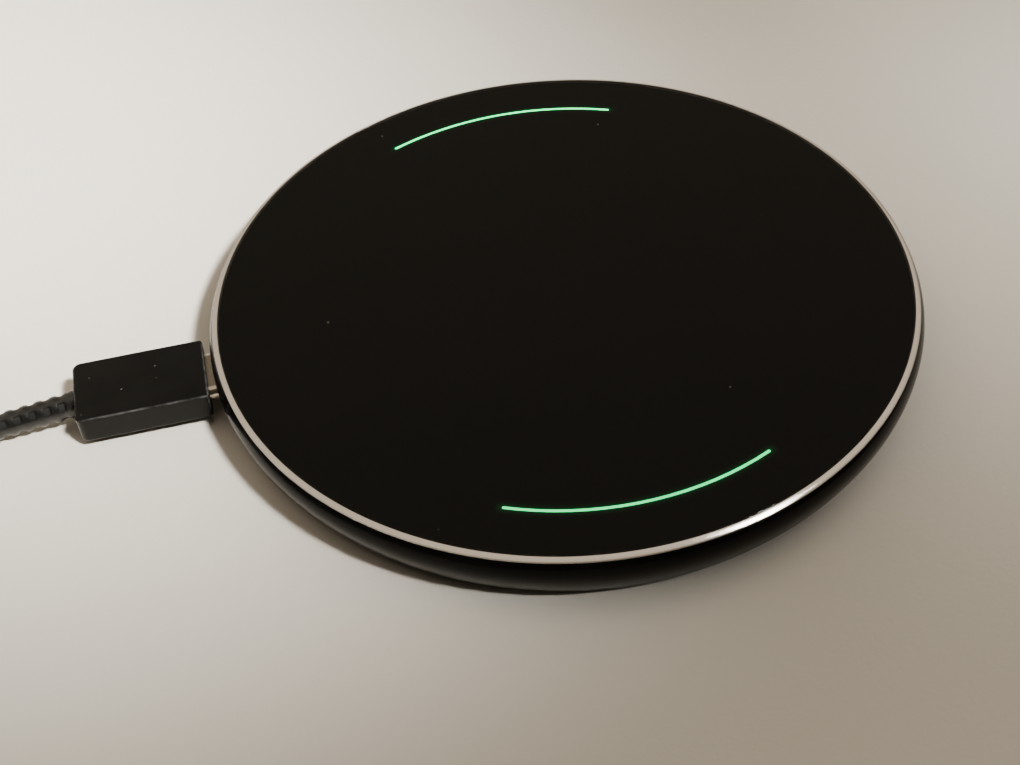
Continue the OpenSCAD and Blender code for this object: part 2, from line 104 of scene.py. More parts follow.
ROUTE_IN = [Vector(p) * MM for p in ROUTE_IN]
ROUTE_OUT = [Vector(p) * MM for p in ROUTE_OUT]
RELIEF_END = 4           # place in ROUTE_IN of the end of the plug's strain relief
SUPPLY_START = 9         # place in ROUTE_OUT of the start of the supply plug's strain relief
COIL_CENTRE = Vector((-110, -26.5, 0)) * MM
COIL_OUT_R = 24 * MM
LAYER_TURNS = 4
CLIMB_ANGLE = 60         # degrees before and after the innermost point in which the lead climbs


# ---- camera ----

def make_camera():
    """The camera stands in front of the pad, to the left of its middle, and looks down at it."""
    azimuth, elevation, roll = (math.radians(a) for a in (-10.03, 45.84, -4.276))
    distance, aside, above = 215.3 * MM, 7.34 * MM, 14.25 * MM
    back = Vector((
        math.sin(azimuth) * math.cos(elevation),
        -math.cos(azimuth) * math.cos(elevation),
        math.sin(elevation),
    ))
    level = Vector((0, 0, 1)).cross(back).normalized()
    upright = back.cross(level)
    right = level * math.cos(roll) + upright * math.sin(roll)
    up = upright * math.cos(roll) - level * math.sin(roll)
    data = bpy.data.cameras.new("camera")
    data.lens, data.sensor_width = 54.07, 36
    data.clip_start, data.clip_end = 10 * MM, 20
    camera = bpy.data.objects.new("camera", data)
    bpy.context.scene.collection.objects.link(camera)
    place = Vector((0, 0, TOP_Z)) + back * distance - right * aside - up * above
    turn = Matrix((right, up, back)).transposed().to_4x4()
    camera.matrix_world = Matrix.Translation(place) @ turn
    bpy.context.scene.camera = camera


# ---- mesh helpers ----

def linked(name, data):
    piece = bpy.data.objects.new(name, data)
    bpy.context.scene.collection.objects.link(piece)
    return piece


def solid(name, bm, sharp_angle=35):
    """Object from a bmesh: normals outward, smooth, with edges over the angle kept sharp."""
    bmesh.ops.remove_doubles(bm, verts=bm.verts, dist=1e-7)
    bmesh.ops.recalc_face_normals(bm, faces=bm.faces)
    limit = math.radians(sharp_angle)
    for face in bm.faces:
        face.smooth = True
    for edge in bm.edges:
        edge.smooth = edge.calc_face_angle(0) < limit
    mesh = bpy.data.meshes.new(name)
    bm.to_mesh(mesh)
    bm.free()
    return linked(name, mesh)


def add_lathe(bm, profile, segments=256, centre=(0, 0)):
    """Turns a closed profile of (radius, height) points about an upright axis."""
    rings = []
    for radius, height in profile:
        if radius < 1e-9:
            rings.append([bm.verts.new((centre[0], centre[1], height))] * segments)
            continue
        rings.append([
            bm.verts.new((
                centre[0] + radius * math.cos(TURN * k / segments),
                centre[1] + radius * math.sin(TURN * k / segments),
                height,
            ))
            for k in range(segments)
        ])
    for low, high in zip(rings, rings[1:] + rings[:1]):
        for k in range(segments):
            m = (k + 1) % segments
            corners = list(dict.fromkeys([low[k], low[m], high[m], high[k]]))
            if len(corners) > 2:
                bm.faces.new(corners)


def add_drum(bm, radius, low, high, at, segments):
    """Upright cylinder from one height to another."""
    add_lathe(bm, [(0, low), (radius, low), (radius, high), (0, high)], segments, at)


def add_loft(bm, loops, closed=False):
    """Skins loops of equally many points, with flat ends, or as a ring if closed."""
    rows = [[bm.verts.new(p) for p in loop] for loop in loops]
    pairs = list(zip(rows, rows[1:] + rows[:1] if closed else rows[1:]))
    for a, b in pairs:
        for k in range(len(a)):
            m = (k + 1) % len(a)
            bm.faces.new((a[k], a[m], b[m], b[k]))
    if not closed:
        bm.faces.new(rows[0])
        bm.faces.new(rows[-1])


def filleted(points, radii, steps=4):
    """The outline again, with an arc at each corner that has a radius in radii."""
    made = []
    for i, point in enumerate(points):
        p = Vector(point)
        radius = radii.get(i, 0)
        if radius <= 0:
            made.append(tuple(p))
            continue
        before = (Vector(points[i - 1]) - p).normalized()
        after = (Vector(points[(i + 1) % len(points)]) - p).normalized()
        half = before.angle(after) / 2
        centre = p + (before + after).normalized() * radius / math.sin(half)
        start = p + before * radius / math.tan(half) - centre
        end = p + after * radius / math.tan(half) - centre
        whole = start.angle(end)
        for k in range(steps + 1):
            t = k / steps
            spoke = start * math.sin((1 - t) * whole) + end * math.sin(t * whole)
            made.append(tuple(centre + spoke / math.sin(whole)))
    return made


def bezier(p, count):
    """Points along a cubic curve with control points p."""
    points = []
    for k in range(count + 1):
        t = k / count
        s = 1 - t
        points.append(tuple(
            s ** 3 * a + 3 * s * s * t * b + 3 * s * t * t * c + t ** 3 * d
            for a, b, c, d in zip(*p)
        ))
    return points


def stadium(width, height, steps=12):
    """Points round a flat outline with round ends, centred on the origin."""
    r = height / 2
    points = []
    for side in (1, -1):
        for k in range(steps + 1):
            a = math.pi / 2 - math.pi * k / steps
            points.append((side * (width / 2 - r + r * math.cos(a)), side * r * math.sin(a)))
    return points


def round_rect(x0, x1, y0, y1, radii, inset=0, steps=6):
    """Points round a rectangle whose corners, from (x0, y0) on, have the given radii."""
    corners = [(x0, y0, 1, 1, 180), (x1, y0, -1, 1, 270), (x1, y1, -1, -1, 0), (x0, y1, 1, -1, 90)]
    points = []
    for (x, y, sx, sy, start), radius in zip(corners, radii):
        cx, cy = x + sx * radius, y + sy * radius
        r = max(radius - inset, 0.01 * MM)
        cx += sx * max(inset - radius + 0.01 * MM, 0)
        cy += sy * max(inset - radius + 0.01 * MM, 0)
        for k in range(steps + 1):
            a = math.radians(start + 90 * k / steps)
            points.append((cx + r * math.cos(a), cy + r * math.sin(a)))
    return points


def baked_down(piece):
    """Applies a piece's modifiers to its mesh."""
    graph = bpy.context.evaluated_depsgraph_get()
    mesh = bpy.data.meshes.new_from_object(piece.evaluated_get(graph))
    piece.modifiers.clear()
    piece.data = mesh


def carve(piece, other, operation="DIFFERENCE"):
    """Cuts the other mesh out of the piece, or joins it on, and removes the other."""
    cut = piece.modifiers.new("carve", "BOOLEAN")
    cut.operation, cut.object, cut.solver = operation, other, "EXACT"
    baked_down(piece)
    bpy.data.objects.remove(other)


def even_normals(piece):
    """Keeps flat faces flat beside their rounded edges."""
    weights = piece.modifiers.new("even_normals", "WEIGHTED_NORMAL")
    weights.keep_sharp = True


def finish_piece(piece, body, slot, look, *nodes):
    piece.data.materials.append(look)
    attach(piece, body)
    if nodes:
        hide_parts(*nodes)
    return piece


# ---- materials ----

class Look:
    """One material's node tree, with short calls for the nodes that the looks here share."""

    def __init__(self, name, colour=(0.5, 0.5, 0.5), roughness=0.5, metallic=0.0):
        self.material = bpy.data.materials.new(name)
        self.material.use_nodes = True
        self.tree = self.material.node_tree
        self.shader = self.tree.nodes["Principled BSDF"]
        self.shader.inputs["Base Color"].default_value = (*colour, 1)
        self.shader.inputs["Roughness"].default_value = roughness
        self.shader.inputs["Metallic"].default_value = metallic
        self.place = self.node("ShaderNodeTexCoord").outputs["Object"]

    def node(self, kind, **settings):
        made = self.tree.nodes.new(kind)
        for name, value in settings.items():
            setattr(made, name, value)
        return made

    def put(self, socket, value):
        if isinstance(value, bpy.types.NodeSocket):
            self.tree.links.new(value, socket)
        elif socket.type == "RGBA" and len(value) == 3:
            socket.default_value = (*value, 1)
        else:
            socket.default_value = value

    def math(self, operation, a, b=0.0, clamp=False):
        made = self.node("ShaderNodeMath", operation=operation, use_clamp=clamp)
        self.put(made.inputs[0], a)
        self.put(made.inputs[1], b)
        return made.outputs[0]

    def stretched(self, scale):
        """Object coordinates, multiplied by scale along each axis."""
        made = self.node("ShaderNodeVectorMath", operation="MULTIPLY")
        self.put(made.inputs[0], self.place)
        self.put(made.inputs[1], scale)
        return made.outputs[0]

    def noise(self, size, detail=3.0, stretch=(1, 1, 1), place=None):
        """Noise with features about as large as size, in metres."""
        made = self.node("ShaderNodeTexNoise")
        self.put(made.inputs["Vector"], place or self.stretched(stretch))
        self.put(made.inputs["Scale"], 1 / size)
        self.put(made.inputs["Detail"], detail)
        return made.outputs["Fac"]

    def cells(self, size, place=None):
        """Distance to the middle of the nearest cell, for dots and specks."""
        made = self.node("ShaderNodeTexVoronoi")
        self.put(made.inputs["Vector"], place or self.place)
        self.put(made.inputs["Scale"], 1 / size)
        return made.outputs["Distance"]

    def span(self, value, low, high, to_low=0.0, to_high=1.0):
        """The value mapped from low..high to to_low..to_high, and held there outside."""
        made = self.node("ShaderNodeMapRange")
        for place, number in enumerate((value, low, high, to_low, to_high)):
            self.put(made.inputs[place], number)
        return made.outputs[0]

    def blend(self, share, first, second):
        made = self.node("ShaderNodeMix", data_type="RGBA")
        self.put(made.inputs["Factor"], share)
        self.put(made.inputs[6], first)
        self.put(made.inputs[7], second)
        return made.outputs[2]

    def radius(self):
        """Distance from the pad's own axis."""
        flat = self.stretched((1, 1, 0))
        made = self.node("ShaderNodeVectorMath", operation="LENGTH")
        self.put(made.inputs[0], flat)
        return made.outputs["Value"]

    def axis(self, name):
        made = self.node("ShaderNodeSeparateXYZ")
        self.put(made.inputs[0], self.place)
        return made.outputs[name]

    def from_edges(self, low, high):
        """Distance to the nearest edge of a block with these corners, on its surface."""
        gaps = []
        for k, name in enumerate("XYZ"):
            off = self.math("ABSOLUTE", self.math("SUBTRACT", self.axis(name), (low[k] + high[k]) / 2))
            gaps.append(self.math("SUBTRACT", (high[k] - low[k]) / 2, off))
        lesser = self.math("MINIMUM", gaps[0], gaps[1])
        greater = self.math("MAXIMUM", gaps[0], gaps[1])
        return self.math("MAXIMUM", lesser, self.math("MINIMUM", greater, gaps[2]))

    def colour(self, value):
        self.put(self.shader.inputs["Base Color"], value)

    def rough(self, value):
        self.put(self.shader.inputs["Roughness"], value)

    def bump(self, height, depth, strength=1.0):
        """Relief of the given depth, in metres, from a height of 0 to 1."""
        made = self.node("ShaderNodeBump")
        self.put(made.inputs["Height"], height)
        self.put(made.inputs["Distance"], depth)
        self.put(made.inputs["Strength"], strength)
        self.put(self.shader.inputs["Normal"], made.outputs[0])


def plastic(name, dark, light, roughness, grain=0.25 * MM, depth=0.004 * MM, specular=0.5, block=None):
    """Moulded plastic: fine grain and slow changes of tone and gloss. A block, given by its
    corners, is also painted pale along its edges, as wear and as a painted highlight, and has a few small
    scuffs."""
    look = Look(name)
    tone = look.noise(6 * MM, 4)
    base = look.blend(look.span(tone, 0.35, 0.65), dark, light)
    haze = look.noise(1.7 * MM, 5)
    look.rough(look.span(haze, 0.3, 0.7, roughness - 0.03, roughness + 0.03))
    look.bump(look.noise(grain, 2), depth)
    look.put(look.shader.inputs["Specular IOR Level"], specular)
    if block:
        # Painted highlight and wear: a pale band along the block's edges stands in for the glint its
        # rounded edges catch, as well as for rubbed plastic.
        near = look.span(look.from_edges(*block), 0.02 * MM, 0.28 * MM, 1, 0)
        wear_and_highlight = look.math("MULTIPLY", near, look.span(look.noise(1.6 * MM, 5), 0.36, 0.62))
        base = look.blend(wear_and_highlight, base, tuple(c + 0.09 for c in light))
        few = look.span(look.noise(4 * MM, 2), 0.52, 0.6)
        scuffs = look.math("MULTIPLY", few, look.span(look.cells(1.9 * MM), 0.07, 0.04))
        base = look.blend(scuffs, base, tuple(c + 0.09 for c in light))
    look.colour(base)
    return look


def metal(name, dark, light, roughness, lines=None, line_size=0.05 * MM, depth=0.002 * MM):
    """Bare metal with fine lines from drawing or turning; lines says how they stretch."""
    look = Look(name, metallic=1.0)
    marks = look.noise(line_size, 3, lines or (1, 1, 1))
    look.colour(look.blend(look.noise(3 * MM, 4), dark, light))
    look.rough(look.span(marks, 0.3, 0.7, roughness - 0.05, roughness + 0.08))
    look.bump(marks, depth)
    return look


def turned_metal(name, dark, light, roughness):
    """Aluminium turned on a lathe: fine grooves that run round the pad's axis."""
    look = Look(name, metallic=1.0)
    joined = look.node("ShaderNodeCombineXYZ")
    look.put(joined.inputs["X"], look.radius())
    look.put(joined.inputs["Z"], look.axis("Z"))
    grooves = look.noise(0.05 * MM, 3, place=joined.outputs[0])
    look.colour(look.blend(look.noise(5 * MM, 4), dark, light))
    scuffs = look.span(look.noise(1.2 * MM, 6), 0.55, 0.8, 0, 0.08)
    turned = look.span(grooves, 0.3, 0.7, roughness - 0.03, roughness + 0.04)
    look.rough(look.math("ADD", turned, scuffs))
    look.bump(grooves, 0.006 * MM)
    return look


def clear_glass(name):
    """Polished glass with faint smears, which only show in its gloss."""
    look = Look(name, (1, 1, 1))
    look.put(look.shader.inputs["Transmission Weight"], 1.0)
    look.put(look.shader.inputs["IOR"], 1.5)
    smears = look.noise(9 * MM, 6, (1, 0.35, 1))
    look.rough(look.span(smears, 0.45, 0.75, 0.02, 0.07))
    return look


def black_print(name):
    """Ink behind the glass: black, a few dust specks, and a painted green glow beside the lines."""
    look = Look(name, roughness=0.6)
    look.put(look.shader.inputs["Specular IOR Level"], 0.0)
    ink = look.blend(look.noise(8 * MM, 4), (0.0010, 0.0014, 0.0009), (0.0019, 0.0024, 0.0016))
    dots = look.cells(5.5 * MM, look.stretched((1, 1, 0)))
    few = look.span(look.noise(11 * MM, 1), 0.5, 0.55)
    specks = look.math("MULTIPLY", look.span(dots, 0.035, 0.02), few)
    look.colour(look.blend(specks, ink, (0.30, 0.29, 0.26)))
    # Painted glow: the ink itself emits faint green light close to the lines, fading past their ends.
    off_line = look.math("ABSOLUTE", look.math("SUBTRACT", look.radius(), LINE_R))
    near = look.math("POWER", look.span(off_line, 0.2 * MM, 1.2 * MM, 1, 0), 2.0)
    aside = look.math("DIVIDE", look.math("ABSOLUTE", look.axis("X")), look.radius())
    end = math.sin(math.radians(LINE_HALF_ANGLE))
    along = look.span(aside, end - 0.012, end + 0.012, 1, 0)
    look.put(look.shader.inputs["Emission Color"], (0.0, 0.6, 0.15))
    look.put(look.shader.inputs["Emission Strength"],
             look.math("MULTIPLY", look.math("MULTIPLY", near, along), 0.045))
    return look


def glowing(name, strength):
    """Clear green light guide, a little uneven along its length."""
    look = Look(name, roughness=0.35)
    soft = look.noise(4 * MM, 2)
    look.colour(look.blend(soft, (0.02, 0.30, 0.10), (0.03, 0.38, 0.14)))
    look.put(look.shader.inputs["Emission Color"], (0.0, 1.0, 0.25))
    look.put(look.shader.inputs["Emission Strength"],
             look.span(soft, 0.3, 0.7, strength * 0.92, strength * 1.08))
    return look


def wound_copper(name, dark, light):
    """Stranded copper wire under clear enamel: short slanting strands."""
    look = Look(name, metallic=1.0)
    strands = look.node("ShaderNodeTexWave")
    look.put(strands.inputs["Vector"], look.place)
    look.put(strands.inputs["Scale"], 1.2 / MM)
    look.put(strands.inputs["Distortion"], 2.5)
    look.colour(look.blend(strands.outputs["Fac"], dark, light))
    look.rough(look.span(look.noise(0.7 * MM, 3), 0.3, 0.7, 0.28, 0.45))
    look.bump(strands.outputs["Fac"], 0.03 * MM)
    return look


def circuit_board(name):
    """Green solder mask over copper tracks."""
    look = Look(name)
    tracks = look.node("ShaderNodeTexBrick")
    look.put(tracks.inputs["Vector"], look.place)
    look.put(tracks.inputs["Scale"], 0.22 / MM)
    look.put(tracks.inputs["Color1"], (0.010, 0.085, 0.035))
    look.put(tracks.inputs["Color2"], (0.013, 0.10, 0.042))
    look.put(tracks.inputs["Mortar"], (0.025, 0.17, 0.07))
    look.colour(look.blend(look.math("MULTIPLY", look.noise(2 * MM, 3), 0.3),
                           tracks.outputs["Color"], (0.006, 0.05, 0.02)))
    look.rough(look.span(look.noise(1 * MM, 3), 0.3, 0.7, 0.25, 0.4))
    look.bump(tracks.outputs["Fac"], 0.03 * MM, 0.6)
    return look


def sintered(name, dark, light, roughness, grain=0.12 * MM):
    """Ceramic or pressed powder: specks of two tones and a fine tooth."""
    look = Look(name)
    specks = look.cells(grain)
    look.colour(look.blend(look.span(specks, 0.2, 0.6), dark, light))
    look.rough(look.span(look.noise(0.6 * MM, 3), 0.3, 0.7, roughness - 0.07, roughness + 0.07))
    look.bump(specks, 0.006 * MM)
    return look


def woven(name, dark, light, pitch=0.35 * MM):
    """Fine woven or looped tape."""
    look = Look(name, roughness=0.85)
    warp = look.node("ShaderNodeTexWave", bands_direction="X")
    weft = look.node("ShaderNodeTexWave", bands_direction="Y")
    for wave in (warp, weft):
        look.put(wave.inputs["Vector"], look.place)
        look.put(wave.inputs["Scale"], 0.3 / pitch)
        look.put(wave.inputs["Distortion"], 0.6)
    weave = look.math("MULTIPLY", warp.outputs["Fac"], weft.outputs["Fac"])
    fuzz = look.math("ADD", weave, look.noise(0.15 * MM, 4))
    look.colour(look.blend(look.span(fuzz, 0.3, 1.3), dark, light))
    look.bump(fuzz, 0.05 * MM)
    look.put(look.shader.inputs["Sheen Weight"], 0.25)
    return look


# ---- pad ----

def wall_profile():
    """Outer wall of the body, from the rim under the ring down to the floor's round edge."""
    return bezier([
        (RING_R, SHELL_HIGH.z),
        (BODY_R + 0.82 * MM, 6.2 * MM),
        (BODY_R - 0.4 * MM, 3.4 * MM),
        (BODY_R - 2.1 * MM, SHELL_LOW.z + 0.2 * MM),
    ], 40)


def make_shell(look):
    """Tub with its screw posts, foot recesses and port."""
    wall = wall_profile()
    foot = wall[-1][0]
    outline = [
        (0, SHELL_LOW.z), (foot - 0.5 * MM, SHELL_LOW.z), *reversed(wall),
        (SKIRT_R + 0.05 * MM, SHELL_HIGH.z), (SKIRT_R + 0.05 * MM, RING_LOW.z),
        (SKIRT_R - SKIRT_T, RING_LOW.z), (SKIRT_R - SKIRT_T, 4.2 * MM),
        (BODY_R - 3.5 * MM, FLOOR_Z), (0, FLOOR_Z),
    ]
    rim = 2 + len(wall) - 1
    outline = filleted(outline, {1: 0.3 * MM, rim: 0.08 * MM})
    bm = bmesh.new()
    add_lathe(bm, outline, 360)
    shell = solid("bottom_tub", bm)

    past = 0.4 * MM                      # how far posts and holes run past the faces they meet
    bm = bmesh.new()
    for at in foot_places():
        add_drum(bm, CASE_POST_R, FLOOR_Z - past, CASE_POST_Z, at, 48)
    for at in board_screw_places():
        add_drum(bm, BOARD_POST_R, FLOOR_Z - past, BOARD_POST_Z, at, 48)
    carve(shell, solid("posts", bm), "UNION")

    bm = bmesh.new()
    under = SHELL_LOW.z - 1 * MM
    for at in foot_places():
        add_lathe(bm, [
            (0, under), (FOOT_RECESS_R, under), (FOOT_RECESS_R, FEET_HIGH.z),
            (SCREW_HEAD_R, FEET_HIGH.z), (SCREW_HEAD_R, SCREW_HEAD_Z), (CASE_HOLE_R, SCREW_HEAD_Z),
            (CASE_HOLE_R, CASE_POST_Z + past), (0, CASE_POST_Z + past),
        ], 64, at)
    for at in board_screw_places():
        add_drum(bm, BOARD_HOLE_R, 1 * MM, BOARD_POST_Z + past, at, 24)
    hole = stadium(*PORT_HOLE, 16)
    add_loft(bm, [
        [(x, y, PORT_Z + z) for y, z in hole] for x in (-BODY_R - 3 * MM, -BODY_R + 5 * MM)
    ])
    carve(shell, solid("holes", bm))
    soften_port(shell, hole)
    even_normals(shell)
    return finish_piece(shell, "pad", "shell_black", look, "bottom_shell")


def soften_port(shell, hole):
    """Rounds the edge between the wall and the port."""
    bm = bmesh.new()
    bm.from_mesh(shell.data)
    spots = [Vector((y, PORT_Z + z)) for y, z in hole]
    between_x = -48.4 * MM               # between the hole's outer edge and its inner one

    def gap(p, a, b):
        """Distance from p to the line between a and b."""
        side = b - a
        share = (p - a).dot(side) / max(side.length_squared, 1e-18)
        return ((p - a) - side * max(0, min(1, share))).length

    def on_edge(vert):
        p = Vector((vert.co.y, vert.co.z))
        near = min(gap(p, a, b) for a, b in zip(spots, spots[1:] + spots[:1]))
        return vert.co.x < -BODY_R + 2.4 * MM and near < 1e-6

    edges = [
        e for e in bm.edges
        if on_edge(e.verts[0]) and on_edge(e.verts[1]) and e.calc_face_angle(0) > math.radians(50)
        and abs(e.verts[0].co.x - e.verts[1].co.x) < 0.5 * MM and e.verts[0].co.x < between_x
    ]
    bmesh.ops.bevel(bm, geom=edges, offset=0.14 * MM, segments=3, affect="EDGES", profile=0.5)
    for face in bm.faces:
        face.smooth = True
    for edge in bm.edges:
        edge.smooth = edge.calc_face_angle(0) < math.radians(35)
    bm.to_mesh(shell.data)
    bm.free()


def foot_places():
    return [polar(38 * MM, a) for a in (45, 135, 225, 315)]


def board_screw_places():
    return [polar(30 * MM, a) for a in (60, 180, 300)]


def polar(radius, degrees):
    return (radius * math.cos(math.radians(degrees)), radius * math.sin(math.radians(degrees)))


def make_feet(look):
    """Four round rubber feet with soft edges."""
    profile = filleted(
        [(0, 0), (FOOT_R, 0), (FOOT_R, FEET_HIGH.z), (0, FEET_HIGH.z)], {1: 0.22 * MM, 2: 0.08 * MM}, 5
    )
    bm = bmesh.new()
    for at in foot_places():
        add_lathe(bm, profile, 96, at)
    feet = solid("feet", bm)
    even_normals(feet)
    return finish_piece(feet, "pad", "foot_rubber", look, "rubber_feet")


def make_ring(look):
    """Turned ring: a slanted face round the glass, a thin lip and a skirt inside the tub."""
    lip_z, lip_low = TOP_Z - 0.35 * MM, TOP_Z - 0.5 * MM
    ledge_z = FILM_LOW.z - 0.1 * MM
    ledge_low = ledge_z - 0.55 * MM
    ledge_r = GLASS_R - 1.7 * MM
    outline = [
        (GLASS_R, TOP_Z), (RING_R, lip_z), (RING_R, lip_low),
        (SKIRT_R, lip_low), (SKIRT_R, RING_LOW.z), (SKIRT_R - SKIRT_T, RING_LOW.z),
        (SKIRT_R - SKIRT_T, ledge_low), (ledge_r, ledge_low), (ledge_r, ledge_z), (GLASS_R, ledge_z),
    ]
    bm = bmesh.new()
    add_lathe(bm, filleted(outline, {0: 0.04 * MM, 1: 0.06 * MM, 2: 0.04 * MM}), 720)
    ring = solid("trim_ring", bm)
    even_normals(ring)
    return finish_piece(ring, "pad", "ring_aluminium", look, "metal_ring")


def make_glass(look):
    """Glass disc. It reaches a hair into the print below it, so that no air shows between them."""
    bottom = FILM_HIGH.z - 0.03 * MM
    r = GLASS_HIGH.x
    outline = [(0, bottom), (r, bottom), (r, TOP_Z), (0, TOP_Z)]
    bm = bmesh.new()
    add_lathe(bm, filleted(outline, {1: 0.06 * MM, 2: 0.1 * MM}, 5), 720)
    glass = solid("glass_disc", bm)
    even_normals(glass)
    return finish_piece(glass, "pad", "glass_clear", look, "top_glass")


# ---- plug ----

def soft_levels(low, high, edge, support, steps=4):
    """(height, inset) pairs of a block whose top and bottom edges are rounded."""
    arc = [
        (edge * (1 - math.cos(math.pi / 2 * k / steps)), edge * (1 - math.sin(math.pi / 2 * k / steps)))
        for k in range(steps + 1)
    ]
    bottom = [(low, edge + support)] + [(low + up, inward) for up, inward in arc]
    top = [(high - up, inward) for up, inward in reversed(arc)] + [(high, edge + support)]
    return bottom + [(low + edge + support, 0), (high - edge - support, 0)] + top


def make_plug_body(look):
    """Moulded block of the plug, with round rear corners and rounded edges that its look paints pale, as
    wear and as a painted highlight.
    """
    bm = bmesh.new()
    radii = (1.2 * MM, 0.45 * MM, 0.45 * MM, 1.2 * MM)
    add_loft(bm, [
        [(x, y, z) for x, y in round_rect(
            PLUG_LOW.x, PLUG_HIGH.x, PLUG_LOW.y, PLUG_HIGH.y, radii, inset)]
        for z, inset in soft_levels(PLUG_LOW.z, PLUG_HIGH.z, 0.28 * MM, 0.3 * MM)
    ])
    body = solid("plug_body", bm)
    even_normals(body)
    return finish_piece(body, "cable", "plug_black", look, "plug_housing")


def make_plug_tube(look):
    """Drawn steel shell of the plug, with a rolled lip at its mouth."""
    wide, high = 8.25 * MM, 2.4 * MM
    wall, lip = 0.28 * MM, 0.14 * MM
    root, tip = PLUG_SHELL_LOW.x, PLUG_SHELL_HIGH.x
    stops = [(root, 0)]
    stops += [(tip - lip + lip * math.sin(a), lip - lip * math.cos(a)) for a in quarter(4)]
    stops += [(tip - lip + lip * math.cos(a), wall - lip + lip * math.sin(a)) for a in quarter(4)]
    stops += [(root, wall)]
    bm = bmesh.new()
    add_loft(bm, [
        [(x, y, PORT_Z + z) for y, z in stadium(wide - 2 * inset, high - 2 * inset, 14)]
        for x, inset in stops
    ], closed=True)
    tube = solid("plug_tube", bm)
    even_normals(tube)
    return finish_piece(tube, "cable", "plug_steel", look, "plug_shell")


def quarter(steps):
    return [math.pi / 2 * k / steps for k in range(steps + 1)]


def make_relief(name, start, end, wide, narrow, sunk, look, node):
    """Rubber sleeve on the lead: tapered, waisted at each slot, with slots on four sides."""
    pitch, collar, slot_l = 2.05 * MM, 1.2 * MM, 0.9 * MM
    groove = 0.18 * MM
    bore = CORD_D / 2 + 0.02 * MM
    along = (end - start).normalized()
    start = start - along * sunk
    length = (end - start).length
    side = Vector((0, 0, 1)).cross(along).normalized()
    up = along.cross(side)
    slots = int((length - collar - 1 * MM) / pitch)
    columns, slot_half = 40, 2
    centres = [collar + (i + 0.5) * pitch for i in range(slots)]

    stations = [0, collar * 0.5]
    for c in centres:
        stations += [c - pitch / 2, c - pitch * 0.36, c - slot_l / 2, c - slot_l / 6, c + slot_l / 6,
                     c + slot_l / 2, c + pitch * 0.36]
    last = centres[-1] + pitch / 2
    stations += [last, (last + length) / 2, length - 0.3 * MM, length - 0.08 * MM, length]

    def outer(s):
        taper = wide + (narrow - wide) * s / length
        waist = max((0.5 + 0.5 * math.cos(TURN * (s - c) / pitch) for c in centres
                     if abs(s - c) < pitch / 2), default=0)
        round_off = 0.22 * MM if s > length - 0.02 * MM else 0.08 * MM if s > length - 0.1 * MM else 0
        return taper / 2 - groove * waist - round_off

    def is_slot(row, column):
        middle = (stations[row] + stations[row + 1]) / 2
        inside = any(abs(middle - c) < slot_l / 2 for c in centres)
        step = (column + slot_half - columns // 8) % (columns // 4)
        return inside and step < 2 * slot_half

    def point(s, column, radius):
        a = TURN * column / columns
        return start + along * s + (side * math.cos(a) + up * math.sin(a)) * radius

    bm = bmesh.new()
    skin = [[bm.verts.new(point(s, k, outer(s))) for k in range(columns)] for s in stations]
    lining = [[bm.verts.new(point(s, k, bore)) for k in range(columns)] for s in stations]
    rows = len(stations) - 1
    for i in range(rows):
        for k in range(columns):
            m = (k + 1) % columns
            if is_slot(i, k):
                continue
            bm.faces.new((skin[i][k], skin[i][m], skin[i + 1][m], skin[i + 1][k]))
            bm.faces.new((lining[i][k], lining[i + 1][k], lining[i + 1][m], lining[i][m]))
            if i == 0 or is_slot(i - 1, k):
                bm.faces.new((skin[i][k], lining[i][k], lining[i][m], skin[i][m]))
            if i == rows - 1 or is_slot(i + 1, k):
                bm.faces.new((skin[i + 1][k], skin[i + 1][m], lining[i + 1][m], lining[i + 1][k]))
            if is_slot(i, m):
                bm.faces.new((skin[i][m], lining[i][m], lining[i + 1][m], skin[i + 1][m]))
            if is_slot(i, (k - 1) % columns):
                bm.faces.new((skin[i][k], skin[i + 1][k], lining[i + 1][k], lining[i][k]))
    relief = solid(name, bm, 180)
    smooth = relief.modifiers.new("smooth", "SUBSURF")
    smooth.levels = smooth.render_levels = 2
    return finish_piece(relief, "cable", "cord_black", look, node)


# ---- lead ----

def coil_route():
    """Points of the wound lead: in along the bottom layer and out along the top one."""
    per_turn = 20
    low, high = ROUTE_IN[-1].z, ROUTE_OUT[0].z
    climb = CLIMB_ANGLE / 360
    points = []
    for k in range(1, 2 * LAYER_TURNS * per_turn):
        turns = k / per_turn
        inward = LAYER_TURNS - abs(turns - LAYER_TURNS)
        t = min(max((turns - LAYER_TURNS + climb) / (2 * climb), 0), 1)
        height = low + (high - low) * t * t * (3 - 2 * t)
        radius = COIL_OUT_R - inward * CORD_D
        angle = math.pi / 2 + TURN * turns
        points.append(COIL_CENTRE + Vector((radius * math.cos(angle), radius * math.sin(angle), height)))
    return points


def make_lead(look):
    """The whole lead as one curve, from the plug through the coil to the supply plug."""
    route = ROUTE_IN + coil_route() + ROUTE_OUT
    curve = bpy.data.curves.new("lead", "CURVE")
    curve.dimensions = "3D"
    curve.bevel_depth = CORD_D / 2
    curve.bevel_resolution = 6
    curve.resolution_u = 5
    curve.use_fill_caps = True
    spline = curve.splines.new("BEZIER")
    spline.bezier_points.add(len(route) - 1)
    for handle, place in zip(spline.bezier_points, route):
        handle.co = place
        handle.handle_left_type = handle.handle_right_type = "AUTO"
    return finish_piece(linked("lead", curve), "cable", "cord_black", look, "cord", "cord_coil", "cord_end")


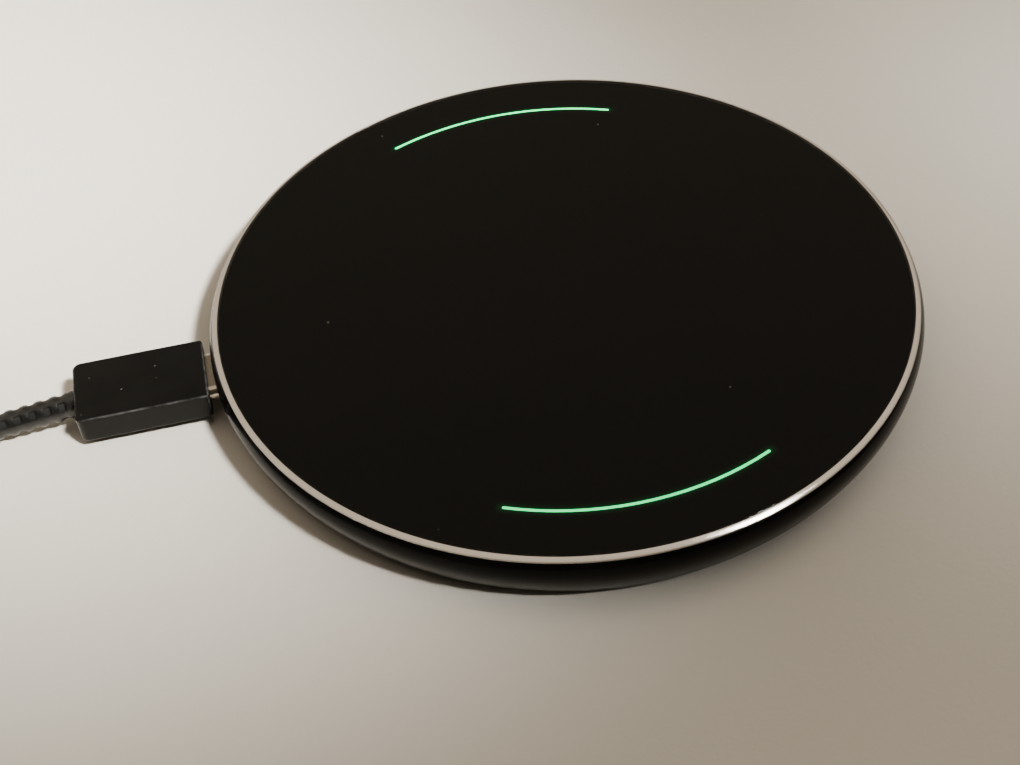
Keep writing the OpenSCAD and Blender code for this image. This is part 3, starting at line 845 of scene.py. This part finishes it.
def make_tie(look):
    """Hook-and-loop strap round the coil, with its end laid over the top."""
    thick = 0.6 * MM
    half = (TIE_HIGH.x - TIE_LOW.x) / 2
    middle_x = (TIE_HIGH.x + TIE_LOW.x) / 2
    edge = 0.15 * MM

    def loop(inset):
        return round_rect(TIE_LOW.y, TIE_HIGH.y, TIE_LOW.z, TIE_HIGH.z, (1.6 * MM,) * 4, inset, 8)

    stops = [(-half, thick / 2), (-half, edge), (-half + edge, 0), (half - edge, 0), (half, edge),
             (half, thick / 2), (half, thick - edge), (half - edge, thick), (edge - half, thick),
             (-half, thick - edge)]
    bm = bmesh.new()
    add_loft(bm, [[(middle_x + x, y, z) for y, z in loop(inset)] for x, inset in stops], closed=True)
    top = TIE_HIGH.z
    start_y, end_y = TIE_LOW.y + 2 * MM, TIE_HIGH.y - 5 * MM
    tail = [
        [(middle_x + x, y, z) for x, y in round_rect(
            -half + 0.2 * MM, half - 0.2 * MM, start_y, end_y, (0.8 * MM, 0.8 * MM, 3 * MM, 3 * MM), inset)]
        for z, inset in soft_levels(top - 0.1 * MM, top + 0.5 * MM, 0.12 * MM, 0.1 * MM, 3)
    ]
    add_loft(bm, tail)
    return finish_piece(solid("tie_strap", bm), "cable", "tie_black", look, "cord_tie")


# ---- supply plug ----

def make_supply_body(look):
    """Moulded body of the supply plug, with grip ribs on its narrow sides."""
    x0, x1 = SUPPLY_LOW.x, SUPPLY_HIGH.x
    z0, z1 = SUPPLY_LOW.z, SUPPLY_HIGH.z
    radii = (1.4 * MM,) * 4
    y0, y1 = SUPPLY_LOW.y, SUPPLY_HIGH.y
    levels = soft_levels(y0, y1, 0.5 * MM, 0.4 * MM)
    ribs = [y0 + 4.4 * MM + 1.2 * MM * k for k in range(7)]
    stations = levels[: len(levels) // 2]
    for y in ribs:
        stations += [(y - 0.34 * MM, 0), (y - 0.2 * MM, 0.16 * MM)]
        stations += [(y + 0.2 * MM, 0.16 * MM), (y + 0.34 * MM, 0)]
    stations += levels[len(levels) // 2:]
    bm = bmesh.new()
    add_loft(bm, [
        [(x, y, z) for x, z in round_rect(x0, x1, z0, z1, radii, inset)] for y, inset in stations
    ])
    body = solid("supply_body", bm)
    even_normals(body)
    return finish_piece(body, "cable", "plug_black", look, "supply_housing")


def make_supply_tube(look):
    """Folded steel shell of the supply plug, with two latch windows on each flat side."""
    x0, x1, z0, z1 = (SUPPLY_SHELL_LOW.x, SUPPLY_SHELL_HIGH.x, SUPPLY_SHELL_LOW.z, SUPPLY_SHELL_HIGH.z)
    root, tip = SUPPLY_SHELL_LOW.y, SUPPLY_SHELL_HIGH.y
    wall = 0.3 * MM
    stops = [(root, 0), (tip - 0.3 * MM, 0), (tip, 0.12 * MM), (tip, wall), (root, wall)]
    bm = bmesh.new()
    add_loft(bm, [
        [(x, y, z) for x, z in round_rect(x0, x1, z0, z1, (0.5 * MM,) * 4, inset)] for y, inset in stops
    ], closed=True)
    tube = solid("supply_tube", bm)
    bm = bmesh.new()
    middle = (x0 + x1) / 2
    near, far = SUPPLY_HIGH.y + 5.1 * MM, SUPPLY_HIGH.y + 7.1 * MM
    for side in (-1, 1):
        left = middle + side * 2.25 * MM - 1.25 * MM
        window = round_rect(left, left + 2.5 * MM, near, far, (0.2 * MM,) * 4)
        add_loft(bm, [[(x, y, z) for x, y in window] for z in (z0 - 1 * MM, z1 + 1 * MM)])
    carve(tube, solid("windows", bm))
    for polygon in tube.data.polygons:
        polygon.use_smooth = True
    even_normals(tube)
    return finish_piece(tube, "cable", "plug_steel", look, "supply_shell")


# ---- floor and light ----

def make_floor():
    """Plain pale floor."""
    bm = bmesh.new()
    bmesh.ops.create_grid(bm, x_segments=8, y_segments=8, size=3)
    floor = solid("floor", bm)
    look = Look("pale_floor")
    tone = look.noise(60 * MM, 3)
    look.colour(look.blend(tone, (0.78, 0.745, 0.67), (0.82, 0.785, 0.715)))
    look.rough(0.85)
    look.bump(look.noise(0.9 * MM, 3), 0.05 * MM)
    floor.data.materials.append(look.material)


def make_world():
    """Soft surroundings, bright above and behind, with one dark patch that the glass mirrors."""
    world = bpy.data.worlds.new("studio")
    bpy.context.scene.world = world
    world.use_nodes = True
    nodes, links = world.node_tree.nodes, world.node_tree.links
    where = nodes.new("ShaderNodeTexCoord").outputs["Generated"]

    def toward(direction, low, high, at_low, at_high):
        """Eases from one brightness to another as the view turns towards a direction."""
        along = nodes.new("ShaderNodeVectorMath")
        along.operation = "DOT_PRODUCT"
        links.new(where, along.inputs[0])
        along.inputs[1].default_value = Vector(direction).normalized()
        eased = nodes.new("ShaderNodeMapRange")
        eased.interpolation_type = "SMOOTHSTEP"
        links.new(along.outputs["Value"], eased.inputs[0])
        for place, number in enumerate((low, high, at_low, at_high), 1):
            eased.inputs[place].default_value = number
        return eased.outputs[0]

    above = toward((0.08, 0.6, 0.8), 0.46, 0.62, 0.06, 0.92)
    patch = toward((0.131, 0.707, 0.695), 0.891, 0.956, 1.0, 0.22)
    nodes["Background"].inputs["Color"].default_value = (1.0, 0.85, 0.67, 1)
    strength = nodes.new("ShaderNodeMath")
    strength.operation = "MULTIPLY"
    links.new(above, strength.inputs[0])
    links.new(patch, strength.inputs[1])
    links.new(strength.outputs[0], nodes["Background"].inputs["Strength"])


def add_lamp(name, place, aim, energy, cone, size, mirrored=False):
    """Spot lamp whose light fades from the middle of its cone to the edge. Place, aim and size
    are in millimetres, and the cone is in degrees. A mirrored lamp is only seen as a glint, and
    the others are only seen by what they light."""
    place, aim = Vector(place) * MM, Vector(aim) * MM
    data = bpy.data.lights.new(name, "SPOT")
    data.energy, data.color = energy, (1.0, 0.965, 0.9)
    data.spot_size, data.spot_blend = math.radians(cone), 1.0
    data.shadow_soft_size = size * MM
    lamp = linked(name, data)
    lamp.location = place
    lamp.rotation_mode = "QUATERNION"
    lamp.rotation_quaternion = (place - aim).to_track_quat("Z", "Y")
    lamp.visible_glossy, lamp.visible_diffuse = mirrored, not mirrored


def make_lamps():
    """Two large soft lamps for the floor and the pad, and one that the ring mirrors at its front."""
    add_lamp("left_lamp", (215, -300, 590), (-98, 78, 0), energy=260, cone=11, size=85)
    add_lamp("right_lamp", (300, -250, 640), (105, 20, 0), energy=28, cone=12, size=60)
    add_lamp("glint_lamp", (330, -163, 621), (14, -48, 8), energy=8, cone=24, size=58, mirrored=True)


# ---- what is built ----

def make_all():
    make_camera()
    cord_rubber = plastic("cord_rubber", (0.010, 0.010, 0.010), (0.017, 0.017, 0.0165), 0.42, 0.3 * MM)
    relief_rubber = plastic("relief_rubber", (0.0045, 0.0045, 0.0043), (0.0085, 0.0085, 0.008), 0.36,
                            0.3 * MM)
    black = (0.003, 0.003, 0.0027), (0.0045, 0.0045, 0.004)
    plug_plastic = plastic("plug_plastic", *black, 0.32, 0.4 * MM, specular=0.15,
                           block=(PLUG_LOW, PLUG_HIGH))
    supply_plastic = plastic("supply_plastic", *black, 0.32, 0.4 * MM, specular=0.15,
                             block=(SUPPLY_LOW, SUPPLY_HIGH))
    # Painted shade: the plug's steel is darker and browner than the other steel, standing in for the shade
    # and warm reflection in the gap beside the pad.
    steel = metal("plug_metal_painted_shade", (0.46, 0.41, 0.34), (0.58, 0.53, 0.46), 0.24, (1, 6, 6))

    lead = make_lead(cord_rubber.material)
    plug = make_plug_body(plug_plastic.material)
    tube = make_plug_tube(steel.material)
    relief = make_relief("plug_relief", ROUTE_IN[0], ROUTE_IN[RELIEF_END], 3.8 * MM, 3.5 * MM, 0.4 * MM,
                         relief_rubber.material, "strain_relief")
    supply_relief = make_relief("supply_sleeve", ROUTE_OUT[-1], ROUTE_OUT[SUPPLY_START], 4.2 * MM, 3.5 * MM,
                                0.4 * MM, relief_rubber.material, "supply_relief")
    tie = make_tie(woven("strap_fabric", (0.012, 0.012, 0.013), (0.05, 0.05, 0.052)).material)
    supply = make_supply_body(supply_plastic.material)
    supply_steel = metal("supply_metal", (0.62, 0.62, 0.62), (0.75, 0.75, 0.76), 0.2, (6, 1, 6))
    supply_tube = make_supply_tube(supply_steel.material)

    make_shell(plastic("shell_plastic", (0.0025, 0.0025, 0.0026), (0.004, 0.004, 0.0041), 0.24, 0.5 * MM,
                       0.002 * MM, specular=0.12).material)
    make_feet(plastic("foot_rubber", (0.018, 0.018, 0.018), (0.03, 0.03, 0.03), 0.72).material)
    make_ring(turned_metal("turned_aluminium", (0.59, 0.56, 0.52), (0.66, 0.63, 0.59), 0.11).material)
    make_glass(clear_glass("polished_glass").material)

    gold = metal("gold_plate", (0.72, 0.5, 0.18), (0.85, 0.62, 0.27), 0.22)
    chip_epoxy = plastic("chip_epoxy", (0.012, 0.012, 0.013), (0.022, 0.022, 0.024), 0.55, 0.12 * MM)
    port_plastic = plastic("port_plastic", (0.008, 0.008, 0.008), (0.014, 0.014, 0.014), 0.4)
    screw_steel = metal("screw_steel", (0.35, 0.35, 0.36), (0.5, 0.5, 0.51), 0.3)
    copper = wound_copper("copper_wire", (0.42, 0.15, 0.05), (0.80, 0.36, 0.16))
    capacitor = sintered("capacitor_ceramic", (0.36, 0.22, 0.12), (0.48, 0.32, 0.18), 0.4)
    tape = woven("white_tape", (0.66, 0.63, 0.54), (0.82, 0.79, 0.70))
    looks = {
        "mask_film": black_print("black_print"),
        "light_guide_front": glowing("green_guide_front", 2.2),
        "light_guide_rear": glowing("green_guide_rear", 5.0),
        "glass_adhesive": tape,
        "ferrite_tape": tape,
        "ferrite_disc": sintered("ferrite", (0.018, 0.018, 0.019), (0.05, 0.05, 0.052), 0.6),
        "power_inductor": sintered("inductor_powder", (0.03, 0.03, 0.032), (0.07, 0.07, 0.072), 0.65),
        "resonant_capacitors": capacitor,
        "input_capacitors": capacitor,
        "charging_coil": copper,
        "coil_leads": copper,
        "temperature_sensor": plastic("sensor_epoxy", (0.05, 0.028, 0.012), (0.09, 0.05, 0.022), 0.3),
        "coil_carrier": plastic("carrier_plastic", (0.016, 0.016, 0.017), (0.028, 0.028, 0.03), 0.5),
        "main_board": circuit_board("board_mask"),
        "controller_chip": chip_epoxy,
        "bridge_chips": chip_epoxy,
        "small_components": chip_epoxy,
        "indicator_leds": plastic("led_lens", (0.62, 0.6, 0.5), (0.8, 0.78, 0.68), 0.3),
        "case_screws": screw_steel,
        "board_screws": screw_steel,
        "usb_socket_shell": metal("socket_steel", (0.55, 0.55, 0.56), (0.7, 0.7, 0.71), 0.24, (1, 6, 6)),
        "usb_socket_tongue": port_plastic,
        "plug_insert": port_plastic,
        "usb_socket_contacts": gold,
        "plug_contacts": gold,
        "supply_contacts": gold,
        "supply_insert": plastic("white_insert", (0.74, 0.73, 0.7), (0.82, 0.81, 0.78), 0.4),
    }
    for name, look in looks.items():
        node = NODES[name]
        node.data.materials.clear()
        node.data.materials.append(look.material)

    make_floor()
    make_world()
    make_lamps()


make_all()
